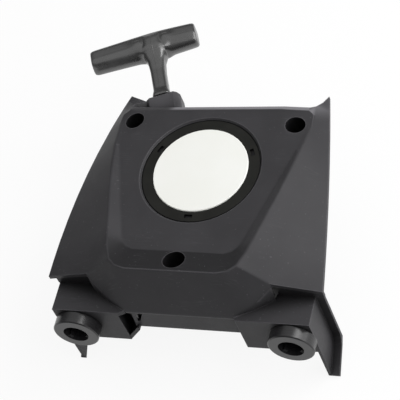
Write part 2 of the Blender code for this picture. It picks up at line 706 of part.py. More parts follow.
def build_cover():
    points, faces = cover_surface()
    cover = skin_slab("starter_housing", points, faces, SKIN_DROP)
    join(cover, inner_walls(points, faces), foot_block(1), foot_block(-1), outlet_block())
    for x, y, radius in WELLS:
        cut(
            cover,
            cylinder("well", radius, SEAT_THICKNESS, TRIM_Z, (x, y), WELL_STEPS),
            cylinder("screw", SCREW_RADIUS, -1.0, SEAT_THICKNESS + 1.0, (x, y), FINE_STEPS),
        )
    slot_low = (-LEFT_INNER_X, BLOCK_BOTTOM_Y - 1.0, BLOCK_REAR_Z - 1.0)
    slot_high = (CLEAR - LOWER_EDGE_HALF, LEDGE_Y - 1.0, SLOT_TOP_Z)
    cut(cover, box("slot", slot_low, slot_high))
    for outline in LOWER_OPENINGS:
        cut(cover, upright("opening", outline, LOWER_EDGE_Y - WALL / 2, LOWER_EDGE_Y + 1.5 * WALL))
    join(cover, upright("rear_plate", REAR_PLATE, BLOCK_BOTTOM_Y + CLEAR, LEDGE_Y + 1.0))
    plate_low = (-LEFT_INNER_X - WALL + SEAM, LOWER_EDGE_Y + 1.0, BLOCK_REAR_Z + SEAM)
    plate_high = (-LEFT_INNER_X - SEAM, LEDGE_Y + 1.2, SLOT_TOP_Z + SEAM)
    join(cover, box("slot_side", plate_low, plate_high))
    recess = BADGE_RADIUS + CLEAR
    rim = [
        (0.0, RECESS_Z),
        (recess, RECESS_Z),
        (recess, FACE_Z - RECESS_CHAMFER),
        (recess + RECESS_CHAMFER, FACE_Z + CLEAR),
        (recess + RECESS_CHAMFER, TRIM_Z),
        (0.0, TRIM_Z),
    ]
    bore = cylinder("eyelet_bore", EYELET_RADIUS + CLEAR, -EYELET_LENGTH - 1.0, 1.0, steps=FINE_STEPS)
    bore_top = POST_FOOT + SCREW_DEPTH + 1.0
    screw_bore = cylinder("screw_bore", SCREW_SHANK + CLEAR, POST_FOOT - 1.0, bore_top, steps=12)
    cut(
        cover,
        turned("recess", rim),
        rope_lane(),
        moved(bore, outlet_frame()),
        screw_bore,
    )
    return cover


# Badge
def build_badge_ring():
    top = FACE_Z - BADGE_SINK
    low = top - BADGE_THICKNESS
    seat = DISC_RADIUS + CLEAR
    floor = top + DISC_PROUD - DISC_THICKNESS - CLEAR
    profile = [
        (0.0, low), (BADGE_RADIUS, low), (BADGE_RADIUS, top - 0.5), (BADGE_RADIUS - 0.5, top),
        (seat, top), (seat, floor), (0.0, floor),
    ]
    badge = turned("badge_ring", profile)
    for angle in CLIP_ANGLES:
        long, wide = CLIP_LENGTH / 2, CLIP_WIDTH / 2
        slot = box("slot", (CLIP_RADIUS - wide, -long, low - 1.0), (CLIP_RADIUS + wide, long, top + 1.0))
        cut(badge, moved(slot, Matrix.Rotation(math.radians(angle), 4, "Z")))
    return badge


def build_badge_disc():
    top = FACE_Z - BADGE_SINK + DISC_PROUD
    low = top - DISC_THICKNESS
    edge = DISC_THICKNESS / 3
    rim = [(DISC_RADIUS, low), (DISC_RADIUS, top - edge), (DISC_RADIUS - edge, top)]
    profile = [(0.0, low)] + rim + [(0.0, top)]
    return turned("badge_disc", profile)


# Bushes
def build_bush(name, side):
    """Flanged bush with keys in its bore, pushed into a foot from below."""
    profile = [
        (BUSH_BORE, -BUSH_LENGTH), (BUSH_RADIUS - BUSH_CHAMFER, -BUSH_LENGTH),
        (BUSH_RADIUS, BUSH_CHAMFER - BUSH_LENGTH),
        (BUSH_RADIUS, -CLEAR), (BUSH_SPIGOT, -CLEAR),
        (BUSH_SPIGOT, SPIGOT_LENGTH), (BUSH_BORE, SPIGOT_LENGTH),
    ]
    bush = turned(name, profile, BUSH_STEPS)
    key_low = (BUSH_BORE - BUSH_KEY, -BUSH_KEY, 2.0 - BUSH_LENGTH)
    key_high = (BUSH_BORE + 1.0, BUSH_KEY, SPIGOT_LENGTH - 1.0)
    for angle in KEY_ANGLES:
        key = box("key", key_low, key_high)
        join(bush, moved(key, Matrix.Rotation(math.radians(angle), 4, "Z")))
    return along_y(bush, (side * BUSH_X, BLOCK_BOTTOM_Y, BUSH_Z))


# Reel, rope and spring
def build_reel():
    bore = SLEEVE_RADIUS + CLEAR
    arbor_top = CASE_TOP - SHEET - CLEAR
    profile = [
        (bore, arbor_top), (ARBOR_RADIUS, arbor_top), (ARBOR_RADIUS, REEL_TOP), (REEL_RADIUS, REEL_TOP),
        (REEL_RADIUS, GROOVE_TOP + GROOVE_FLARE), (GROOVE_RADIUS, GROOVE_TOP), (GROOVE_RADIUS, GROOVE_FOOT),
        (REEL_RADIUS, GROOVE_FOOT - GROOVE_FLARE), (REEL_RADIUS, REEL_FOOT), (bore, REEL_FOOT),
    ]
    reel = turned("rope_reel", profile)
    window_in, window_out = REEL_RADIUS - WINDOW_INNER, REEL_RADIUS - WINDOW_OUTER
    half = 180.0 / WINDOWS - WINDOW_SPOKE
    for i in range(WINDOWS):
        turn = 360.0 * (i + 0.5) / WINDOWS
        outline = arc((0.0, 0.0), window_out, turn - half, turn + half, 8)
        outline += arc((0.0, 0.0), window_in, turn + half, turn - half, 8)
        cut(reel, prism("window", outline, REEL_FOOT - 1.0, GROOVE_FOOT + 0.4))
    for turn in (0.0, 180.0):
        spot = Matrix.Rotation(math.radians(turn), 2) @ Vector((PAWL_PIVOT, 0.0))
        top = REEL_FOOT + PIN_DEPTH + CLEAR
        cut(reel, cylinder("pin_hole", PAWL_PIN + CLEAR, REEL_FOOT - 1.0, top, spot, 12))
    return reel


def winding_points():
    start = rope_tangent()
    turn = math.atan2(start.y, start.x)
    ahead = Vector((start.y, -start.x, 0.0)).normalized()
    points = [start + ahead * (2 * ROPE_RADIUS)]
    steps = round(ROPE_TURNS * TURN_STEPS)
    for i in range(steps + 1):
        share = i / steps
        radius = REEL_ROPE_END - ROPE_PITCH * ROPE_TURNS * share
        angle = turn + 2 * math.pi * ROPE_TURNS * share
        points.append(Vector((radius * math.cos(angle), radius * math.sin(angle), ROPE_Z)))
    return points


def least_gap(points, radius, skip):
    """Least distance between the skins of stretches of one tube that lie over skip points apart."""
    least = math.inf
    for i, point in enumerate(points):
        for other in points[i + skip:]:
            least = min(least, (point - other).length)
    return least - 2 * radius


def build_rope_winding():
    points = winding_points()
    print("rope winding least gap mm", round(least_gap(points, ROPE_RADIUS, TURN_STEPS // 2), 2))
    return tube("rope_winding", points, ROPE_RADIUS, 6)


def build_rope_lead():
    start = winding_points()[0]
    ahead = (start - rope_tangent()).normalized()
    start = start + ahead * CLEAR
    end = eyelet_inner() - ROPE_OUT * 2.0
    reach = (end - start).length / 3
    knots = [start, start + ahead * reach, end - ROPE_OUT * reach, end]
    points = []
    steps = 9
    for i in range(steps + 1):
        t = i / steps
        weights = ((1 - t) ** 3, 3 * t * (1 - t) ** 2, 3 * t * t * (1 - t), t ** 3)
        points.append(sum((k * w for k, w in zip(knots, weights)), Vector()))
    points += [OUTLET_POINT - ROPE_OUT * (EYELET_LENGTH / 2), OUTLET_POINT]
    return tube("rope_lead", points, ROPE_RADIUS, 8)


def build_spring():
    """Flat strip wound from the arbor out to the case."""
    inner = ARBOR_RADIUS + CLEAR
    outer = SPRING_CASE_RADIUS - SHEET - CLEAR - SPRING_STRIP
    low, high = LID_TOP + CLEAR, CASE_TOP - SHEET - CLEAR
    steps = round(SPRING_TURNS * 20)
    points, faces = [], []
    for i in range(steps + 1):
        share = i / steps
        angle = 2 * math.pi * SPRING_TURNS * share
        for radius in (inner + (outer - inner) * share, inner + (outer - inner) * share + SPRING_STRIP):
            for z in (low, high):
                points.append((radius * math.cos(angle), radius * math.sin(angle), z))
    for i in range(steps):
        a, b = 4 * i, 4 * i + 4
        for m, n in ((0, 1), (1, 3), (3, 2), (2, 0)):
            faces.append((a + m, a + n, b + n, b + m))
    faces += [(0, 1, 3, 2), (4 * steps, 4 * steps + 2, 4 * steps + 3, 4 * steps + 1)]
    gap = (outer - inner) / SPRING_TURNS - SPRING_STRIP
    print("rewind spring least gap mm", round(gap, 2))
    return face_outwards(body("rewind_spring", points, faces))


def build_spring_case():
    hole = SLEEVE_RADIUS + CLEAR
    foot = CASE_TOP - SPRING_CASE_DEPTH
    wall = SPRING_CASE_RADIUS - SHEET
    profile = [
        (hole, CASE_TOP), (SPRING_CASE_RADIUS, CASE_TOP), (SPRING_CASE_RADIUS, foot),
        (wall, foot), (wall, CASE_TOP - SHEET), (hole, CASE_TOP - SHEET),
    ]
    return turned("spring_case", profile)


# Pawls and guide
def pawl_outline():
    heel = arc((0.0, 0.0), PAWL_HEEL, 80.0, 290.0, 9)
    nose = PAWL_LENGTH
    tip = [(nose - 2.0, -1.4), (nose, 1.4), (nose - 0.8, PAWL_HEEL)]
    return heel + tip + [(PEG_REACH - 1.0, PAWL_HEEL + 0.2)]


def pawl_frame(turn):
    """Pawl at its pivot, pointing the way that the reel turns when the rope is pulled."""
    return Matrix.Rotation(math.radians(turn), 4, "Z") @ Matrix.Translation(
        Vector((PAWL_PIVOT, 0.0, 0.0)) * MM
    ) @ Matrix.Rotation(math.radians(-90.0), 4, "Z")


def build_pawl(name, turn):
    pawl = prism(name, pawl_outline(), PAWL_FOOT, PAWL_TOP)
    cut(pawl, cylinder("pin_hole", PAWL_PIN + CLEAR, PAWL_FOOT - 1.0, PAWL_TOP + 1.0, steps=16))
    peg = cylinder("peg", PEG_RADIUS, GUIDE_FOOT - PEG_PROUD, PAWL_FOOT + 1.0, (PEG_REACH, 0.0), 12)
    join(pawl, peg)
    return moved(pawl, pawl_frame(turn))


def build_pawl_pin(name, turn):
    head_top = PAWL_FOOT - CLEAR
    profile = [
        (0.0, head_top - PIN_HEAD), (PAWL_PIN + 1.4, head_top - PIN_HEAD), (PAWL_PIN + 1.4, head_top),
        (PAWL_PIN, head_top), (PAWL_PIN, REEL_FOOT + PIN_DEPTH), (0.0, REEL_FOOT + PIN_DEPTH),
    ]
    return moved(turned(name, profile, 16), pawl_frame(turn))


def peg_path(turn):
    """Places of a pawl's peg in the guide, as the guide drags behind the reel."""
    points = []
    steps = 6
    for i in range(steps + 1):
        share = i / steps
        swing = math.radians(PAWL_SWING * share)
        peg = Vector((PAWL_PIVOT + PEG_REACH * math.sin(swing), -PEG_REACH * math.cos(swing), 0.0))
        back = math.radians(turn - GUIDE_SWING * share)
        points.append(Matrix.Rotation(back, 3, "Z") @ peg)
    return points


def cam_slot(turn):
    """Outline of a slot with round ends along the peg's path."""
    path = peg_path(turn)
    half = PEG_RADIUS + CLEAR + 0.2
    sides = []
    for i, point in enumerate(path):
        ahead = (path[min(i + 1, len(path) - 1)] - path[max(i - 1, 0)]).normalized()
        sides.append((point, ahead, Vector((-ahead.y, ahead.x, 0.0))))
    outline = [(p + n * half).xy for p, a, n in sides]
    point, ahead, normal = sides[-1]
    outline += [(point + (ahead * math.sin(b) + normal * math.cos(b)) * half).xy for b in (0.6, 1.57, 2.54)]
    outline += [(p - n * half).xy for p, a, n in reversed(sides)]
    point, ahead, normal = sides[0]
    outline += [(point - (ahead * math.sin(b) + normal * math.cos(b)) * half).xy for b in (0.6, 1.57, 2.54)]
    return outline


def build_guide():
    hole = POST_RADIUS + CLEAR
    guide = ring("pawl_guide", hole, GUIDE_RADIUS, GUIDE_FOOT, GUIDE_TOP)
    for turn in (0.0, 180.0):
        cut(guide, prism("slot", cam_slot(turn), GUIDE_FOOT - 1.0, GUIDE_TOP + 1.0))
    return guide


def build_drag_spring():
    """Short coil that presses the guide against its drag face."""
    radius = POST_RADIUS + CLEAR + DRAG_SPRING_WIRE + CLEAR
    low = WASHER_TOP + CLEAR + DRAG_SPRING_WIRE
    high = GUIDE_FOOT - CLEAR - DRAG_SPRING_WIRE
    steps = round(DRAG_SPRING_TURNS * TURN_STEPS)
    points = []
    for i in range(steps + 1):
        angle = 2 * math.pi * DRAG_SPRING_TURNS * i / steps
        height = low + (high - low) * i / steps
        points.append(Vector((radius * math.cos(angle), radius * math.sin(angle), height)))
    print("drag spring least gap mm", round(least_gap(points, DRAG_SPRING_WIRE, TURN_STEPS // 2), 2))
    return tube("drag_spring", points, DRAG_SPRING_WIRE, 6)


def build_reel_screw():
    foot = HEAD_TOP - SCREW_HEAD_HEIGHT
    tip = POST_FOOT + SCREW_DEPTH
    profile = [
        (0.0, foot), (SCREW_HEAD - 1.0, foot), (SCREW_HEAD, foot + 1.0), (SCREW_HEAD, HEAD_TOP),
        (SCREW_SHANK, HEAD_TOP), (SCREW_SHANK, tip - 1.0), (SCREW_SHANK - 1.0, tip), (0.0, tip),
    ]
    screw = turned("reel_screw", profile, FINE_STEPS)
    socket = cylinder("socket", SCREW_HEAD * 0.5, foot - 1.0, foot + SCREW_HEAD_HEIGHT * 0.6, steps=6)
    return cut(screw, socket)


# Outlet eyelet and handle
def build_eyelet():
    lip = EYELET_BORE + 1.2
    profile = [
        (EYELET_BORE, 1.5 - EYELET_LENGTH), (lip, -EYELET_LENGTH), (EYELET_RADIUS, -EYELET_LENGTH),
        (EYELET_RADIUS, 0.0), (lip, 0.0), (EYELET_BORE, -1.5),
    ]
    return moved(turned("rope_eyelet", profile, FINE_STEPS), outlet_frame())


def loft(name, stations, sides=20):
    """Rings of (centre, half width, half depth, axes) joined along a path, with pointed ends closed."""
    points, faces = [], []
    for centre, wide, deep, right, ahead in stations:
        for k in range(sides):
            angle = 2 * math.pi * k / sides
            x = math.copysign(abs(math.cos(angle)) ** GRIP_SQUARE, math.cos(angle)) * wide
            y = math.copysign(abs(math.sin(angle)) ** GRIP_SQUARE, math.sin(angle)) * deep
            points.append(centre + right * x + ahead * y)
    for i in range(len(stations) - 1):
        for k in range(sides):
            m = (k + 1) % sides
            faces.append((i * sides + k, i * sides + m, (i + 1) * sides + m, (i + 1) * sides + k))
    faces.append(tuple(range(sides)))
    faces.append(tuple(range((len(stations) - 1) * sides, len(stations) * sides)))
    return face_outwards(body(name, points, faces))


def grip_top():
    return GRIP_HEIGHT + GRIP_HALF_HEIGHT * GRIP_BULGE


def build_grip():
    """T grip: a bar across the rope, with its longer arm on the outer side, on a slim stem."""
    up, deep = Vector((0.0, 0.0, 1.0)), Vector((0.0, 1.0, 0.0))
    bar = []
    for share, size in GRIP_SECTIONS:
        x = -GRIP_LEFT * -share if share < 0 else GRIP_RIGHT * share
        spot = Vector((x, 0.0, GRIP_HEIGHT))
        bar.append((spot, GRIP_HALF_HEIGHT * size, GRIP_HALF_DEPTH * size, up, deep))
    grip = loft("handle_grip", bar)
    across = Vector((1.0, 0.0, 0.0))
    stem = []
    for share, size in STEM_SECTIONS:
        height = CLEAR + (GRIP_HEIGHT - CLEAR) * share
        thick = STEM_RADIUS * min(size, STEM_DEEPEST)
        stem.append((Vector((0.0, 0.0, height)), STEM_RADIUS * size, thick, across, deep))
    join(grip, loft("stem", stem))
    pocket_floor = grip_top() - KNOT_DEPTH
    cut(
        grip,
        cylinder("rope_bore", ROPE_RADIUS + CLEAR, -1.0, pocket_floor + 1.0, steps=12),
        cylinder("knot_pocket", KNOT_POCKET, pocket_floor, grip_top() + 5.0, steps=FINE_STEPS),
    )
    moved(grip, Matrix.Rotation(math.radians(GRIP_YAW), 4, "Z"))
    return moved(grip, outlet_frame())


def build_handle_cap():
    top = grip_top() - CAP_SINK
    profile = [
        (0.0, top - CAP_THICKNESS), (KNOT_POCKET - CLEAR, top - CAP_THICKNESS),
        (KNOT_POCKET - CLEAR, top - 0.6),
        (KNOT_POCKET - CLEAR - 0.8, top), (0.0, top + CAP_SINK / 2),
    ]
    return moved(turned("handle_cap", profile, FINE_STEPS), outlet_frame())


def build_rope_end():
    """Rope in the stem and the knot that holds the handle."""
    seat = grip_top() - KNOT_DEPTH + CLEAR
    top = seat + KNOT_RADIUS * 1.7
    profile = [
        (0.0, CLEAR), (ROPE_RADIUS, CLEAR), (ROPE_RADIUS, seat), (KNOT_RADIUS * 0.8, seat),
        (KNOT_RADIUS, seat + KNOT_RADIUS * 0.5), (KNOT_RADIUS, seat + KNOT_RADIUS * 1.1),
        (KNOT_RADIUS * 0.7, top), (0.0, top),
    ]
    return moved(turned("rope_end", profile, 12), outlet_frame())


def main():
    for thing in list(bpy.data.objects):
        bpy.data.objects.remove(thing)
    root = empty("recoil_starter", (0.0, 0.0, 0.0))
    reel = empty("reel_axis", (0.0, 0.0, ROPE_Z), root)
    handle = empty("handle_line", OUTLET_POINT, root)
    plastic = finish("cover_plastic", (0.05, 0.05, 0.052), 0.55)
    ring_plastic = finish("ring_plastic", (0.028, 0.029, 0.026), 0.5)
    label = finish("label", (0.91, 0.92, 0.89), 0.4)
    rubber = finish("bush_polymer", (0.06, 0.062, 0.065), 0.42)
    grip = finish("grip_plastic", (0.045, 0.045, 0.047), 0.4)
    nylon = finish("reel_nylon", (0.03, 0.03, 0.032), 0.45)
    cord = finish("rope_braid", (0.55, 0.54, 0.5), 0.8)
    steel = finish("bright_steel", (0.6, 0.6, 0.62), 0.3, 1.0)
    spring_steel = finish("spring_steel", (0.25, 0.25, 0.27), 0.35, 1.0)
    brass = finish("eyelet_brass", (0.7, 0.56, 0.28), 0.3, 1.0)

    set_down(build_cover(), plastic, root)
    set_down(build_badge_ring(), ring_plastic, root)
    set_down(build_badge_disc(), label, root)
    set_down(build_bush("mount_bush_left", -1), rubber, root)
    set_down(build_bush("mount_bush_right", 1), rubber, root)
    set_down(build_eyelet(), brass, root)
    set_down(build_rope_lead(), cord, root)
    set_down(build_spring_case(), nylon, root)
    set_down(build_spring(), spring_steel, root)
    lid = ring("spring_lid", ARBOR_RADIUS + CLEAR, SPRING_CASE_RADIUS, LID_TOP - SHEET, LID_TOP)
    set_down(lid, steel, root)
    low, high = GUIDE_TOP + CLEAR, FLOOR_Z - CLEAR
    sleeve = ring("post_sleeve", POST_RADIUS + CLEAR, SLEEVE_RADIUS, low, high, FINE_STEPS)
    set_down(sleeve, steel, root)
    set_down(build_drag_spring(), spring_steel, root)
    washer = ring("reel_washer", SCREW_SHANK + CLEAR, WASHER_RADIUS, WASHER_FOOT, WASHER_TOP, FINE_STEPS)
    set_down(washer, steel, root)
    set_down(build_reel_screw(), steel, root)

    axis = (0.0, 0.0, ROPE_Z)
    set_down(build_reel(), nylon, reel, axis)
    set_down(build_rope_winding(), cord, reel, axis)
    set_down(build_guide(), steel, reel, axis)
    for mark, turn in (("a", 0.0), ("b", 180.0)):
        pivot = Matrix.Rotation(math.radians(turn), 3, "Z") @ Vector((PAWL_PIVOT, 0.0, PAWL_FOOT))
        set_down(build_pawl("pawl_" + mark, turn), spring_steel, reel, pivot)
        set_down(build_pawl_pin("pawl_pin_" + mark, turn), steel, reel, pivot)

    set_down(build_grip(), grip, handle, OUTLET_POINT)
    set_down(build_handle_cap(), grip, handle, OUTLET_POINT)
    set_down(build_rope_end(), cord, handle, OUTLET_POINT)
    print("outlet point", tuple(round(v, 3) for v in OUTLET_POINT), "rope direction", tuple(ROPE_OUT))


main()
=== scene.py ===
"""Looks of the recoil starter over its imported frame: camera, studio, finishes and finer pieces.

Lengths are in metres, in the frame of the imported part: +Z out of the front, +Y towards the rope outlet.
"""
import math

import bmesh
import bpy
from mathutils import Matrix, Vector


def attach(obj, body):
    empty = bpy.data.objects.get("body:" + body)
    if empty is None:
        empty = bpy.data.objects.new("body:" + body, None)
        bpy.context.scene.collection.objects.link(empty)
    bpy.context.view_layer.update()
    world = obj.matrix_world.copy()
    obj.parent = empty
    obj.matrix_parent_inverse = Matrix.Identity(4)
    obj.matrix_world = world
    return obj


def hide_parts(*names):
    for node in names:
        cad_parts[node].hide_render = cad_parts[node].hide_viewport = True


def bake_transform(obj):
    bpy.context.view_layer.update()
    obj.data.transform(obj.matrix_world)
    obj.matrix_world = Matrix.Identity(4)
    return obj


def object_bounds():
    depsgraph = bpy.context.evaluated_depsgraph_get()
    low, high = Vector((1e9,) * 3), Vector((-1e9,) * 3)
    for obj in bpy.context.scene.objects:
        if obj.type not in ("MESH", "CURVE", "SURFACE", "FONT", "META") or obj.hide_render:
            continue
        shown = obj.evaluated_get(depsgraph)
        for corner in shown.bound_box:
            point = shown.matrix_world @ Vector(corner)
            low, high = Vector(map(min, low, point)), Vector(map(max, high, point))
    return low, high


MM = 0.001

# Camera, as fitted to the photograph
CAMERA_PLACE = (0.5505, -0.8054, 1.2543)
CAMERA_BACK = (0.3556, -0.5084, 0.7843)
CAMERA_UP = (-0.0392, 0.8303, 0.5559)
CAMERA_LENS = 181.82
CAMERA_SENSOR = 36.0
CAMERA_CLIP = (0.01, 100.0)

# Studio; the sky's levels change over a span of height, from 0 at the horizon to 1 overhead
LAMP_AIM = (0.0, 0.0, 0.02)
HORIZON_LIGHT = 0.95
WALL_DIMMING = 0.83
WALL_FOOT = (0.06, 0.16)
CEILING_LIGHT = 0.6
CEILING_EDGE = (0.5, 0.85)
FLOOR_HALF = 20.0
FLOOR_GAP = 0.5 * MM
FLOOR_CHALK = 0.95
FLOOR_BOUNCE = 0.25
FLOOR_SHADE = 0.1

# Rope, with the values of the part's source; steps and sides say how finely it is laid
REEL_Z = 30.5 * MM
OUTLET = Vector((-59.3, 82.8, 30.5)) * MM
ROPE_LEAN = math.radians(22.0)
ROPE_OUT = Vector((-math.sin(ROPE_LEAN), math.cos(ROPE_LEAN), 0.0))
ROPE_SIDE = Vector((ROPE_OUT.y, -ROPE_OUT.x, 0.0))
ROPE_RADIUS = 2.0 * MM
ROPE_GAP = 0.3 * MM
ROPE_SIDES = 16
BRAID_PITCH = 3.6 * MM
BRAID_STRANDS = 4.0
TRACER_PACE = 0.25
WINDING_OUTER = 42.0 * MM
WINDING_PITCH = 4.5 * MM
WINDING_TURNS = 4.0
WINDING_STUB = 2 * ROPE_RADIUS
WINDING_STEPS = 60
EYELET_LENGTH = 12.0 * MM
EYELET_AIM = 1.5 * EYELET_LENGTH
EYELET_CLEAR = 2.0 * MM
EYELET_STEPS = 40
LEAD_STEPS = 24
PULL_LENGTH = 660.0 * MM
KNOT_SEAT = 53.0 * MM
KNOT_RADIUS = 4.6 * MM
KNOT_RISE = 4.0 * MM
KNOT_TURNS = 1.5
KNOT_STEPS = 30
KNOT_SIDES = 12

# Springs, with the values of the part's source
COIL_RADIUS = 7.1 * MM
COIL_WIRE = 0.5 * MM
COIL_TURNS = 2.25
COIL_FOOT = 12.6 * MM
COIL_TOP = 16.2 * MM
COIL_STEPS = 48
COIL_SIDES = 10
STRIP_INNER = 12.3 * MM
STRIP_OUTER = 37.4 * MM
STRIP_THICKNESS = 0.9 * MM
STRIP_TURNS = 6.0
STRIP_FOOT = 37.7 * MM
STRIP_TOP = 47.0 * MM
STRIP_STEPS = 64

# Grip, as shaped over its solid; a pair of shares says where a slope starts and ends
BAR_HEIGHT = 57.0 * MM
BAR_HALF_HEIGHT = 10.3 * MM
BAR_HALF_DEPTH = 9.4 * MM
ROUND_GAIN = 1.06
ROUND_SLOPE = (0.0, 0.45)
PAD_HALF = 8.0 * MM
PAD_RISE = 1.2 * MM
PAD_SLOPE = (0.5, 1.3)
PAD_FOOT = (-1.6, -0.5)
CREST_SLOPE = (0.15, 0.75)
FACE_SLOPE = (0.2, 0.8)
FINGER_DISHES = ((-12.5 * MM, 57.0 * MM), (11.5 * MM, 57.5 * MM))
DISH_LENGTH = 6.0 * MM
DISH_HEIGHT = 5.0 * MM
DISH_DEPTH = 1.2 * MM
GRIP_VOXEL = 0.6 * MM
SOFTENING_SHARE = 0.5
SOFTENING_ROUNDS = 14

# Places on the cover with painted light and shade: painted light round the rope outlet, painted shade on
# the tray's low wall and a painted highlight on the rolled top edge
OUTLET_LIGHT_REACH = 13.0 * MM
WALL_SHADE_FOOT = (62.0 * MM, 72.0 * MM)
TOP_HIGHLIGHT_HEIGHT = (50.0 * MM, 56.0 * MM)
TOP_HIGHLIGHT_SIDE = (-42.0 * MM, -34.0 * MM)

WELD = 1e-6
CREASE = math.radians(30.0)
CORNER_SAMPLES = 8
EDGE_SAMPLES = 6


class Port:
    """Output of a node, on which Python sums and products add Math nodes."""

    def __init__(self, sheet, socket):
        self.sheet = sheet
        self.socket = socket

    def maths(self, operation, *values):
        return self.sheet.add("ShaderNodeMath", {"operation": operation}, dict(enumerate(values)))

    def __add__(self, other):
        return self.maths("ADD", self, other)

    def __radd__(self, other):
        return self.maths("ADD", other, self)

    def __sub__(self, other):
        return self.maths("SUBTRACT", self, other)

    def __rsub__(self, other):
        return self.maths("SUBTRACT", other, self)

    def __mul__(self, other):
        return self.maths("MULTIPLY", self, other)

    def __rmul__(self, other):
        return self.maths("MULTIPLY", other, self)

    def sine(self):
        return self.maths("SINE", self)

    def size(self):
        return self.maths("ABSOLUTE", self)

    def most(self, other):
        return self.maths("MAXIMUM", self, other)

    def rise(self, low, high):
        """Smooth step from 0 at low to 1 at high."""
        settings = {"interpolation_type": "SMOOTHSTEP"}
        inputs = {"Value": self, "From Min": low, "From Max": high}
        return self.sheet.add("ShaderNodeMapRange", settings, inputs)


class Sheet:
    """Node tree of a material, of the world or of a shape, filled node by node."""

    def __init__(self, tree):
        self.tree = tree

    def add(self, kind, settings=None, inputs=None, output=0):
        node = self.tree.nodes.new(kind)
        for key, value in (settings or {}).items():
            setattr(node, key, value)
        for key, value in (inputs or {}).items():
            self.feed(node.inputs[key], value)
        return Port(self, node.outputs[output])

    def feed(self, socket, value):
        if isinstance(value, Port):
            self.tree.links.new(value.socket, socket)
        else:
            socket.default_value = value

    def place(self):
        return self.add("ShaderNodeTexCoord", output="Object")

    def normal(self):
        return self.add("ShaderNodeNewGeometry", output="Normal")

    def rounded(self, radius):
        """Normal of a surface whose edges are rounded by a radius."""
        return self.add("ShaderNodeBevel", {"samples": EDGE_SAMPLES}, {"Radius": radius})

    def part(self, vector, axis):
        """One of a vector's three numbers."""
        return self.add("ShaderNodeSeparateXYZ", None, {"Vector": vector}, axis)

    def measure(self, operation, first, second):
        """Number that a vector operation gives."""
        inputs = {0: first, 1: second}
        return self.add("ShaderNodeVectorMath", {"operation": operation}, inputs, "Value")

    def stretched(self, scale, turn=(0.0, 0.0, 0.0)):
        inputs = {"Vector": self.place(), "Scale": scale, "Rotation": turn}
        return self.add("ShaderNodeMapping", None, inputs)

    def noise(self, vector, scale, detail):
        inputs = {"Vector": vector, "Scale": scale, "Detail": detail}
        return self.add("ShaderNodeTexNoise", None, inputs)

    def clouds(self, scale, detail):
        """Soft patches from 0 to 1."""
        return self.noise(self.place(), scale, detail).rise(0.3, 0.7)

    def watched(self):
        """1 for rays that show a thing to the camera, straight or by gloss or glass."""
        camera = self.add("ShaderNodeLightPath", output="Is Camera Ray")
        gloss = self.add("ShaderNodeLightPath", output="Is Glossy Ray")
        glass = self.add("ShaderNodeLightPath", output="Is Transmission Ray")
        return camera.most(gloss).most(glass)

    def hollow(self, reach):
        """From 0 in the open to 1 in deep corners, over a reach in metres."""
        settings = {"samples": CORNER_SAMPLES}
        open_share = self.add("ShaderNodeAmbientOcclusion", settings, {"Distance": reach}, "AO")
        return 1.0 - open_share

    def edge(self, reach):
        """From 0 on flat faces to 1 at corners, within a reach in metres."""
        along = self.measure("DOT_PRODUCT", self.rounded(reach), self.normal())
        return (1.0 - along).rise(0.002, 0.04)

    def mix(self, share, first, second):
        """Colour between two others."""
        return self.add("ShaderNodeMix", {"data_type": "RGBA"}, {0: share, 6: first, 7: second}, 2)

    def with_painted_shade(self, colour, reach, span, dark):
        """Colour darkened by painted shade in corners, over a reach in metres."""
        return self.mix(self.hollow(reach).rise(*span), colour, dark)


class Finish(Sheet):
    """Material with one Principled surface."""

    def __init__(self, name, **fixed):
        self.material = bpy.data.materials.new(name)
        self.material.use_nodes = True
        super().__init__(self.material.node_tree)
        self.surface = self.tree.nodes["Principled BSDF"]
        for key, value in fixed.items():
            self.surface.inputs[key.replace("_", " ")].default_value = value

    def set(self, socket, value):
        self.feed(self.surface.inputs[socket], value)

    def relief(self, height, depth, edge=None):
        """Surface relief of a depth in metres, over edges rounded by a radius."""
        inputs = {"Height": height, "Distance": depth, "Strength": 1.0}
        if edge:
            inputs["Normal"] = self.rounded(edge)
        self.set("Normal", self.add("ShaderNodeBump", None, inputs))


def grey(level):
    return (level, level, level, 1.0)


def slate(level):
    """Grey with the faint violet-blue cast of dark moulded plastic."""
    return (level, level * 0.975, level * 1.05, 1.0)


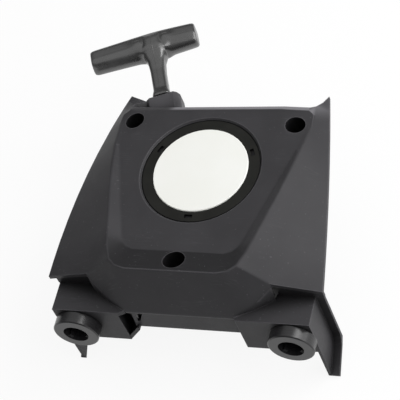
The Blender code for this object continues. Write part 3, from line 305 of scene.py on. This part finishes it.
# Finishes
def moulded_cover():
    """Dark moulded plastic with a fine grain, faint clouding, hairline scuffs and pale specks.

    The low wall of the panel's tray is darker by painted shade, the rolled top edge is paler by a painted
    highlight, the rope outlet is paler by painted light, and corners are darker by painted shade.
    """
    finish = Finish("moulded_cover", Specular_IOR_Level=0.18)
    place = finish.place()
    across = finish.part(place, "X")
    up = finish.part(place, "Y")
    lean = finish.part(finish.normal(), "Y")

    cloud = finish.clouds(scale=30.0, detail=3.0)
    patch = finish.noise(place, scale=55.0, detail=2.0).rise(0.5, 0.68)
    streaks = finish.stretched((26.0, 700.0, 26.0), (0.0, 0.0, 0.6))
    line = finish.noise(streaks, scale=1.0, detail=1.0)
    scuff = (1.0 - (line - 0.5).size().rise(0.0, 0.03)) * patch
    speck = finish.noise(place, scale=620.0, detail=0.0).rise(0.79, 0.83)
    # Masks for painted shade on the tray's low wall, a painted highlight on the rolled top edge and painted
    # light round the rope outlet
    painted_wall_shade = lean.rise(0.06, 0.22) * (0.0 - up).rise(*WALL_SHADE_FOOT)
    rolled = lean.rise(0.15, 0.5) * (1.0 - lean.rise(0.8, 0.9))
    painted_top_highlight = rolled * up.rise(*TOP_HIGHLIGHT_HEIGHT) * across.rise(*TOP_HIGHLIGHT_SIDE)
    far = finish.measure("DISTANCE", place, OUTLET)
    outlet_painted_light = 1.0 - far.rise(OUTLET_LIGHT_REACH, 2.0 * OUTLET_LIGHT_REACH)

    colour = finish.mix(cloud, slate(0.039), slate(0.045))
    # Painted shade darkens the low wall of the panel's tray
    colour = finish.mix(painted_wall_shade, colour, slate(0.021))
    # Painted highlight makes the rolled top edge paler
    colour = finish.mix(painted_top_highlight, colour, slate(0.2))
    colour = finish.mix(scuff * 0.2 + finish.edge(1.1 * MM) * 0.8, colour, slate(0.1))
    # Painted light makes the cover paler round the rope outlet
    colour = finish.mix(outlet_painted_light, colour, slate(0.075))
    colour = finish.mix(speck * 0.3, colour, slate(0.15))
    # Painted shade darkens the cover in corners and hollows
    finish.set("Base Color", finish.with_painted_shade(colour, 24.0 * MM, (0.06, 0.6), slate(0.007)))
    finish.set("Roughness", 0.38 + 0.12 * finish.noise(place, scale=140.0, detail=4.0) + 0.04 * cloud)
    finish.relief(finish.noise(place, scale=2300.0, detail=2.0), depth=0.05 * MM, edge=0.6 * MM)
    return finish.material


def ring_plastic():
    """Near-black ring with a matt texture."""
    finish = Finish("ring_plastic", Specular_IOR_Level=0.2)
    place = finish.place()
    black = (0.0105, 0.0106, 0.0092, 1.0)
    faded = (0.0145, 0.0145, 0.0126, 1.0)
    colour = finish.mix(finish.clouds(scale=60.0, detail=3.0), black, faded)
    # Painted shade darkens the ring in corners and slots
    finish.set("Base Color", finish.with_painted_shade(colour, 5.0 * MM, (0.2, 0.5), grey(0.0015)))
    finish.set("Roughness", 0.5 + 0.15 * finish.noise(place, scale=300.0, detail=3.0))
    finish.relief(finish.noise(place, scale=1800.0, detail=2.0), depth=0.04 * MM, edge=0.3 * MM)
    return finish.material


def white_label():
    """Blank white disc under a thin clear film."""
    finish = Finish("white_label", Coat_Weight=0.3, Coat_Roughness=0.12, Specular_IOR_Level=0.3)
    place = finish.place()
    cream = (0.9, 0.905, 0.86, 1.0)
    white = (0.925, 0.93, 0.895, 1.0)
    finish.set("Base Color", finish.mix(finish.clouds(scale=22.0, detail=2.0), cream, white))
    finish.set("Roughness", 0.35 + 0.1 * finish.noise(place, scale=200.0, detail=2.0))
    finish.relief(finish.noise(place, scale=700.0, detail=2.0), depth=0.01 * MM, edge=0.2 * MM)
    return finish.material


def bush_polymer():
    """Smooth hard polymer with turned marks."""
    finish = Finish("bush_polymer", Specular_IOR_Level=0.55)
    turned = finish.noise(finish.stretched((40.0, 2600.0, 40.0)), scale=1.0, detail=2.0)
    colour = finish.mix(finish.clouds(scale=70.0, detail=3.0), slate(0.012), slate(0.017))
    # Painted shade darkens the bushes in their bores and corners
    finish.set("Base Color", finish.with_painted_shade(colour, 8.0 * MM, (0.3, 0.8), slate(0.006)))
    finish.set("Roughness", 0.22 + 0.14 * turned)
    finish.relief(turned, depth=0.02 * MM, edge=0.4 * MM)
    return finish.material


def grip_plastic():
    """Smooth handle plastic, polished by use in places, with the mould's seam across its middle."""
    finish = Finish("grip_plastic", Specular_IOR_Level=1.0, IOR=1.62)
    place = finish.place()
    worn = finish.noise(place, scale=42.0, detail=3.0).rise(0.35, 0.65)
    along = finish.measure("DOT_PRODUCT", place, ROPE_SIDE)
    seam = 1.0 - (along - OUTLET.dot(ROPE_SIDE)).size().rise(0.15 * MM, 0.4 * MM)
    colour = finish.mix(worn, grey(0.026), grey(0.036))
    # Painted shade darkens the grip in corners and hollows
    finish.set("Base Color", finish.with_painted_shade(colour, 9.0 * MM, (0.2, 0.7), slate(0.006)))
    finish.set("Roughness", 0.21 + 0.08 * worn + 0.05 * finish.noise(place, scale=400.0, detail=2.0))
    finish.relief(finish.noise(place, scale=260.0, detail=2.0) * 0.15 + seam * 1.5, depth=0.04 * MM)
    return finish.material


def reel_nylon():
    """Black nylon with flow marks."""
    finish = Finish("reel_nylon", Specular_IOR_Level=0.45)
    flow = finish.noise(finish.stretched((60.0, 60.0, 260.0)), scale=1.0, detail=3.0)
    grain = finish.noise(finish.place(), scale=1500.0, detail=2.0)
    finish.set("Base Color", finish.mix(flow, grey(0.018), grey(0.03)))
    finish.set("Roughness", 0.38 + 0.2 * flow)
    finish.relief(grain, depth=0.03 * MM, edge=0.4 * MM)
    return finish.material


def braided_rope():
    """Pale braid whose strands cross round the rope, with dark tracer threads and painted shade between the
    strands.
    """
    finish = Finish("braided_rope", Specular_IOR_Level=0.25)
    along = finish.add("ShaderNodeAttribute", {"attribute_name": "along"}, output="Fac")
    around = finish.add("ShaderNodeAttribute", {"attribute_name": "around"}, output="Vector")
    across = finish.part(around, "X")
    upward = finish.part(around, "Y")
    angle = across.maths("ARCTAN2", upward, across)
    advance = along * (2 * math.pi / BRAID_PITCH)
    right = (advance + angle * BRAID_STRANDS).sine()
    left = (advance - angle * BRAID_STRANDS).sine()
    braid = right.most(left)
    tracer = (advance * TRACER_PACE + angle).sine().rise(0.86, 0.97)
    fuzz = finish.noise(finish.place(), scale=1300.0, detail=3.0)
    pale = finish.mix(fuzz, (0.5, 0.48, 0.43, 1.0), (0.66, 0.64, 0.58, 1.0))
    # The darker colour between the strands is painted shade in the braid's grooves
    shade_between_strands = (0.24, 0.23, 0.2, 1.0)
    tracer_thread = (0.05, 0.06, 0.09, 1.0)
    colour = finish.mix(braid.rise(-0.2, 0.6), shade_between_strands, pale)
    finish.set("Base Color", finish.mix(tracer, colour, tracer_thread))
    finish.set("Roughness", 0.74 + 0.18 * fuzz)
    finish.relief(braid * 0.8 + fuzz * 0.2, depth=0.22 * MM)
    return finish.material


def plated_steel():
    """Bright plated steel with fine brushing."""
    finish = Finish("plated_steel", Metallic=1.0)
    brushed = finish.noise(finish.stretched((90.0, 2400.0, 90.0)), scale=1.0, detail=3.0)
    finish.set("Base Color", finish.mix(finish.clouds(scale=90.0, detail=3.0), grey(0.5), grey(0.6)))
    finish.set("Roughness", 0.26 + 0.14 * brushed)
    finish.relief(brushed, depth=0.006 * MM, edge=0.2 * MM)
    return finish.material


def blued_steel():
    """Spring steel with a dark blue-grey oxide in patches."""
    finish = Finish("blued_steel", Metallic=1.0)
    place = finish.place()
    oxide = (0.13, 0.135, 0.15, 1.0)
    bare = (0.24, 0.24, 0.26, 1.0)
    finish.set("Base Color", finish.mix(finish.clouds(scale=120.0, detail=4.0), oxide, bare))
    finish.set("Roughness", 0.3 + 0.16 * finish.noise(place, scale=800.0, detail=3.0))
    finish.relief(finish.noise(place, scale=1500.0, detail=2.0), depth=0.008 * MM, edge=0.2 * MM)
    return finish.material


def turned_brass():
    """Brass with patches of tarnish."""
    finish = Finish("turned_brass", Metallic=1.0)
    place = finish.place()
    tarnished = (0.62, 0.46, 0.2, 1.0)
    bright = (0.75, 0.6, 0.3, 1.0)
    finish.set("Base Color", finish.mix(finish.clouds(scale=160.0, detail=3.0), tarnished, bright))
    finish.set("Roughness", 0.24 + 0.18 * finish.noise(place, scale=900.0, detail=3.0))
    finish.relief(finish.noise(place, scale=1200.0, detail=2.0), depth=0.006 * MM, edge=0.2 * MM)
    return finish.material


# Pieces
def linked(name, data):
    thing = bpy.data.objects.new(name, data)
    bpy.context.scene.collection.objects.link(thing)
    return thing


def plain(thing):
    """Turns what an object's modifiers give into its own mesh."""
    evaluated = thing.evaluated_get(bpy.context.evaluated_depsgraph_get())
    mesh = bpy.data.meshes.new_from_object(evaluated)
    thing.modifiers.clear()
    thing.data = mesh
    mesh.name = thing.name
    return thing


def coat(thing, finish):
    thing.data.materials.clear()
    thing.data.materials.append(finish)


def settle(thing, body, finish, node):
    """Gives a finished piece its finish and its body, and hides the CAD node that it stands for."""
    coat(thing, finish)
    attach(thing, body)
    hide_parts(node)


def welded(node, name):
    """Copy of a CAD node with its triangles joined, its rounds smooth and its corners sharp."""
    bm = bmesh.new()
    bm.from_mesh(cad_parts[node].data)
    bmesh.ops.remove_doubles(bm, verts=bm.verts, dist=WELD)
    for face in bm.faces:
        face.smooth = True
    for edge in bm.edges:
        edge.smooth = edge.calc_face_angle(math.pi) < CREASE
    mesh = bpy.data.meshes.new(name)
    bm.to_mesh(mesh)
    bm.free()
    thing = linked(name, mesh)
    flat = thing.modifiers.new("flat faces stay flat", "WEIGHTED_NORMAL")
    flat.keep_sharp = True
    return plain(thing)


def step(value, low, high):
    """Smooth step from 0 at low to 1 at high."""
    share = min(1.0, max(0.0, (value - low) / (high - low)))
    return share * share * (3.0 - 2.0 * share)


def span(shares, size):
    return [share * size for share in shares]


def shaped_grip(spot):
    """Rounds the bar's lower half, and raises a pad over the stem between two finger dishes."""
    along = spot.dot(ROPE_SIDE)
    high = spot.dot(ROPE_OUT)
    out = spot.z
    tall = (high - BAR_HEIGHT) / BAR_HALF_HEIGHT
    deep = out / BAR_HALF_DEPTH
    if tall < 0.0 and abs(along) > PAD_HALF:
        square = (tall ** 4 + deep ** 4) ** 0.25
        scale = square / max(math.hypot(tall, deep), 1e-6) * ROUND_GAIN
        share = step(-tall, *ROUND_SLOPE) * step(abs(along), PAD_HALF, 2.0 * PAD_HALF)
        high += (high - BAR_HEIGHT) * (scale - 1.0) * share
        out *= 1.0 + (scale - 1.0) * share
    lift = PAD_RISE * (1.0 - step(abs(along), *span(PAD_SLOPE, PAD_HALF)))
    low_edge, top_edge = span(PAD_FOOT, BAR_HALF_HEIGHT)
    lift *= step(high, BAR_HEIGHT + low_edge, BAR_HEIGHT + top_edge)
    for centre, level in FINGER_DISHES:
        far = ((along - centre) / DISH_LENGTH) ** 2 + ((high - level) / DISH_HEIGHT) ** 2
        lift -= DISH_DEPTH * math.exp(-far)
    lift *= 1.0 - step(tall, *CREST_SLOPE)
    out += math.copysign(lift, out) * step(abs(out), *span(FACE_SLOPE, BAR_HALF_DEPTH))
    return ROPE_SIDE * along + ROPE_OUT * high + Vector((0.0, 0.0, out))


def grip_body():
    """Handle grip with its stem run into the bar by soft fillets."""
    thing = welded("handle_grip", "grip_body")
    skin = thing.modifiers.new("one skin", "REMESH")
    skin.mode = "VOXEL"
    skin.voxel_size = GRIP_VOXEL
    soft = thing.modifiers.new("soft fillets", "SMOOTH")
    soft.factor = SOFTENING_SHARE
    soft.iterations = SOFTENING_ROUNDS
    plain(thing)
    for vertex in thing.data.vertices:
        vertex.co = OUTLET + shaped_grip(vertex.co - OUTLET)
    thing.data.shade_smooth()
    return thing


def rope_tree():
    """Geometry nodes that lay a round section along a path, and note its length and its round."""
    tree = bpy.data.node_groups.new("laid_round", "GeometryNodeTree")
    inputs = {"Geometry": "Geometry", "Radius": "Float", "Sides": "Int", "Finish": "Material"}
    for name, kind in inputs.items():
        tree.interface.new_socket(name, in_out="INPUT", socket_type="NodeSocket" + kind)
    tree.interface.new_socket("Geometry", in_out="OUTPUT", socket_type="NodeSocketGeometry")
    sheet = Sheet(tree)

    def given(name):
        return sheet.add("NodeGroupInput", output=name)

    def noted(shape, kind, name, value):
        settings = {"data_type": kind, "domain": "POINT"}
        inputs = {"Geometry": shape, "Name": name, "Value": value}
        return sheet.add("GeometryNodeStoreNamedAttribute", settings, inputs)

    path = sheet.add("GeometryNodeMeshToCurve", None, {"Mesh": given("Geometry")})
    length = sheet.add("GeometryNodeSplineParameter", output="Length")
    path = noted(path, "FLOAT", "along", length)
    round_inputs = {"Resolution": given("Sides"), "Radius": given("Radius")}
    rim = sheet.add("GeometryNodeCurvePrimitiveCircle", None, round_inputs, "Curve")
    rim = noted(rim, "FLOAT_VECTOR", "around", sheet.add("GeometryNodeInputPosition"))
    section = {"Curve": path, "Profile Curve": rim, "Fill Caps": True}
    skin = sheet.add("GeometryNodeCurveToMesh", None, section)
    smooth = sheet.add("GeometryNodeSetShadeSmooth", None, {"Geometry": skin})
    finished = {"Geometry": smooth, "Material": given("Finish")}
    coated = sheet.add("GeometryNodeSetMaterial", None, finished)
    whole = sheet.add("GeometryNodeRealizeInstances", None, {"Geometry": coated})
    sheet.feed(tree.nodes.new("NodeGroupOutput").inputs["Geometry"], whole)
    return tree


def laid_round(name, points, radius, sides, finish):
    """Round rope or wire along points."""
    mesh = bpy.data.meshes.new(name)
    mesh.from_pydata(points, [(i, i + 1) for i in range(len(points) - 1)], [])
    thing = linked(name, mesh)
    lay = thing.modifiers.new("laid round", "NODES")
    lay.node_group = laid_tree
    values = {"Radius": radius, "Sides": sides, "Finish": finish}
    for item in laid_tree.interface.items_tree:
        if item.in_out == "INPUT" and item.name in values:
            lay[item.identifier] = values[item.name]
    return plain(thing)


def round_spot(radius, angle, height):
    """Point at an angle round the reel's axis."""
    return Vector((radius * math.cos(angle), radius * math.sin(angle), height))


def leaving_point():
    """Place where the rope leaves the outer turn on the reel."""
    aim = OUTLET - ROPE_OUT * EYELET_AIM
    angle = math.atan2(aim.y, aim.x) + math.acos(WINDING_OUTER / math.hypot(aim.x, aim.y))
    return round_spot(WINDING_OUTER, angle, REEL_Z)


def winding_route():
    """Rope's turns on the reel, from a short stub that meets the drawn rope, inwards."""
    start = leaving_point()
    turn = math.atan2(start.y, start.x)
    ahead = Vector((start.y, -start.x, 0.0)).normalized()
    points = [start + ahead * WINDING_STUB]
    steps = round(WINDING_TURNS * WINDING_STEPS)
    for i in range(steps + 1):
        share = i / steps
        radius = WINDING_OUTER - WINDING_PITCH * WINDING_TURNS * share
        points.append(round_spot(radius, turn + 2 * math.pi * WINDING_TURNS * share, REEL_Z))
    return points


def pull_route():
    """Rope from the reel through the eyelet, close-pointed where it runs out with the handle."""
    start = winding_route()[0]
    ahead = (start - leaving_point()).normalized()
    start = start + ahead * ROPE_GAP
    end = OUTLET - ROPE_OUT * (EYELET_LENGTH + EYELET_CLEAR)
    reach = (end - start).length / 3
    knots = [start, start + ahead * reach, end - ROPE_OUT * reach, end]
    points = []
    for i in range(LEAD_STEPS + 1):
        t = i / LEAD_STEPS
        weights = ((1 - t) ** 3, 3 * t * (1 - t) ** 2, 3 * t * t * (1 - t), t ** 3)
        points.append(sum((k * w for k, w in zip(knots, weights)), Vector()))
    run = OUTLET - end
    points += [end + run * (i / EYELET_STEPS) for i in range(1, EYELET_STEPS + 1)]
    return points


def coil_route():
    """Wire of the drag spring, from its foot up."""
    points = []
    steps = round(COIL_TURNS * COIL_STEPS)
    for i in range(steps + 1):
        height = COIL_FOOT + (COIL_TOP - COIL_FOOT) * i / steps
        points.append(round_spot(COIL_RADIUS, 2 * math.pi * COIL_TURNS * i / steps, height))
    return points


def knot_route():
    """Rope up the stem and round on itself as a stopper knot."""
    deep = Vector((0.0, 0.0, 1.0))
    loop = KNOT_RADIUS - ROPE_RADIUS
    points = [OUTLET + ROPE_OUT * height for height in (ROPE_GAP, KNOT_SEAT * 0.5, KNOT_SEAT)]
    base = OUTLET + ROPE_OUT * (KNOT_SEAT + ROPE_RADIUS)
    for i in range(KNOT_STEPS + 1):
        share = i / KNOT_STEPS
        angle = 2 * math.pi * KNOT_TURNS * share
        swing = (ROPE_SIDE * math.sin(angle) + deep * (math.cos(angle) - 1.0) * 0.5) * loop
        points.append(base + swing * math.sin(math.pi * share) + ROPE_OUT * (KNOT_RISE * share))
    return points


def spring_strip():
    """Flat strip wound in a spiral, with square ends."""
    steps = round(STRIP_TURNS * STRIP_STEPS)
    bm = bmesh.new()
    rows = []
    for i in range(steps + 1):
        share = i / steps
        angle = 2 * math.pi * STRIP_TURNS * share
        inner = STRIP_INNER + (STRIP_OUTER - STRIP_INNER) * share
        outer = inner + STRIP_THICKNESS
        out = Vector((math.cos(angle), math.sin(angle), 0.0))
        section = ((inner, STRIP_FOOT), (outer, STRIP_FOOT), (outer, STRIP_TOP), (inner, STRIP_TOP))
        rows.append([bm.verts.new(out * radius + Vector((0.0, 0.0, height))) for radius, height in section])
    for first, second in zip(rows, rows[1:]):
        for k in range(4):
            bm.faces.new((first[k], first[(k + 1) % 4], second[(k + 1) % 4], second[k]))
    bm.faces.new(rows[0])
    bm.faces.new(rows[-1])
    bmesh.ops.recalc_face_normals(bm, faces=bm.faces)
    mesh = bpy.data.meshes.new("spring_strip")
    bm.to_mesh(mesh)
    bm.free()
    mesh.shade_smooth()
    mesh.set_sharp_from_angle(angle=CREASE)
    return linked("spring_strip", mesh)


# Studio
def set_camera():
    camera = bpy.data.cameras.new("camera")
    camera.lens = CAMERA_LENS
    camera.sensor_width = CAMERA_SENSOR
    camera.clip_start, camera.clip_end = CAMERA_CLIP
    thing = linked("camera", camera)
    back = Vector(CAMERA_BACK).normalized()
    right = Vector(CAMERA_UP).cross(back).normalized()
    up = back.cross(right)
    matrix = Matrix((right, up, back)).transposed().to_4x4()
    matrix.translation = Vector(CAMERA_PLACE)
    thing.matrix_world = matrix
    bpy.context.scene.camera = thing


def set_lamp(name, place, side, power):
    """Square lamp that faces the object."""
    lamp = bpy.data.lights.new(name, "AREA")
    lamp.shape = "SQUARE"
    lamp.size = side
    lamp.energy = power
    thing = linked(name, lamp)
    thing.location = place
    thing.rotation_euler = (Vector(place) - Vector(LAMP_AIM)).to_track_quat("Z", "Y").to_euler()


def set_sky():
    """White at the horizon, dim walls above it and a paler ceiling."""
    world = bpy.data.worlds.new("studio")
    world.use_nodes = True
    bpy.context.scene.world = world
    sheet = Sheet(world.node_tree)
    height = sheet.part(sheet.add("ShaderNodeTexCoord", output="Generated"), "Z")
    walls = height.rise(*WALL_FOOT) * WALL_DIMMING
    ceiling = height.rise(*CEILING_EDGE) * CEILING_LIGHT
    ground = world.node_tree.nodes["Background"]
    ground.inputs["Color"].default_value = grey(1.0)
    sheet.feed(ground.inputs["Strength"], HORIZON_LIGHT - walls + ceiling)


def set_floor(height):
    """Pale floor that keeps a faint shadow."""
    mesh = bpy.data.meshes.new("floor")
    corners = [(x * FLOOR_HALF, y * FLOOR_HALF, height) for x, y in ((-1, -1), (1, -1), (1, 1), (-1, 1))]
    mesh.from_pydata(corners, [], [(0, 1, 2, 3)])
    floor = linked("floor", mesh)
    finish = Finish("pale_floor")
    glow = finish.add("ShaderNodeEmission", None, {"Color": grey(1.0)})
    chalk = finish.add("ShaderNodeBsdfDiffuse", None, {"Color": grey(FLOOR_CHALK)})
    dim = finish.add("ShaderNodeBsdfDiffuse", None, {"Color": grey(FLOOR_BOUNCE)})
    white = finish.add("ShaderNodeMixShader", None, {0: FLOOR_SHADE, 1: glow, 2: chalk})
    shown = finish.add("ShaderNodeMixShader", None, {0: finish.watched(), 1: dim, 2: white})
    finish.feed(finish.tree.nodes["Material Output"].inputs["Surface"], shown)
    mesh.materials.append(finish.material)


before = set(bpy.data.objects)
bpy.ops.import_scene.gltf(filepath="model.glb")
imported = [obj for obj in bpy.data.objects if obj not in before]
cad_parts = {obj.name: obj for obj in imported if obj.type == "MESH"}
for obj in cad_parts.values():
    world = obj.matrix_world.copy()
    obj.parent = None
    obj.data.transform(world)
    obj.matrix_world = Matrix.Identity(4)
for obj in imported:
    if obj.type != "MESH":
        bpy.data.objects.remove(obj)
cad_low, cad_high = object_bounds()
set_camera()
set_sky()
set_floor(cad_low[2] - FLOOR_GAP)
set_lamp("key", place=(1.3, 0.1, 0.95), side=1.9, power=27.5)
set_lamp("sheen", place=(0.95, 0.85, 1.15), side=0.7, power=5.0)

cover = moulded_cover()
ring = ring_plastic()
label = white_label()
bush = bush_polymer()
grip = grip_plastic()
nylon = reel_nylon()
rope = braided_rope()
steel = plated_steel()
spring = blued_steel()
brass = turned_brass()
laid_tree = rope_tree()

# CAD nodes whose shape is kept: node, its piece, body, material slot and finish
kept_shapes = (
    ("starter_housing", "cover_moulding", "cover", "cover_plastic", cover),
    ("badge_ring", "badge_rim", "cover", "ring_plastic", ring),
    ("badge_disc", "badge_face", "cover", "label", label),
    ("mount_bush_left", "foot_bush_left", "cover", "bush_polymer", bush),
    ("mount_bush_right", "foot_bush_right", "cover", "bush_polymer", bush),
    ("rope_eyelet", "rope_guide", "cover", "eyelet_brass", brass),
    ("spring_case", "spring_drum", "cover", "reel_nylon", nylon),
    ("spring_lid", "spring_plate", "cover", "bright_steel", steel),
    ("post_sleeve", "bearing_tube", "cover", "bright_steel", steel),
    ("reel_washer", "screw_washer", "cover", "bright_steel", steel),
    ("reel_screw", "centre_screw", "cover", "bright_steel", steel),
    ("rope_reel", "reel_body", "reel", "reel_nylon", nylon),
    ("pawl_guide", "cam_plate", "guide", "bright_steel", steel),
    ("pawl_a", "drive_pawl_a", "pawl_a", "spring_steel", spring),
    ("pawl_pin_a", "pivot_pin_a", "reel", "bright_steel", steel),
    ("pawl_b", "drive_pawl_b", "pawl_b", "spring_steel", spring),
    ("pawl_pin_b", "pivot_pin_b", "reel", "bright_steel", steel),
    ("handle_cap", "knot_plug", "handle", "grip_plastic", grip),
)
for node, piece, body, slot, finish in kept_shapes:
    settle(welded(node, piece), body, finish, node)

# Pieces made here, each in place of its CAD node
settle(spring_strip(), "cover", spring, "rewind_spring")
coil = laid_round("drag_coil", coil_route(), COIL_WIRE, COIL_SIDES, spring)
settle(coil, "cover", spring, "drag_spring")
winding = laid_round("rope_on_reel", winding_route(), ROPE_RADIUS, ROPE_SIDES, rope)
settle(winding, "reel", rope, "rope_winding")
settle(grip_body(), "handle", grip, "handle_grip")
knot = laid_round("stopper_knot", knot_route(), ROPE_RADIUS, KNOT_SIDES, rope)
settle(knot, "handle", rope, "rope_end")

# In the eyelet, the drawn rope's braid is noted at the length that it is pulled to
pull = laid_round("pull_rope", pull_route(), ROPE_RADIUS, ROPE_SIDES, rope)
for vertex, mark in zip(pull.data.vertices, pull.data.attributes["along"].data):
    inside = (vertex.co - OUTLET).dot(ROPE_OUT)
    mark.value += PULL_LENGTH * step(inside, -EYELET_LENGTH, 0.0)
coat(pull, rope)
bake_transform(pull)
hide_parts("rope_lead")

bpy.context.scene.view_settings.view_transform = "Standard"
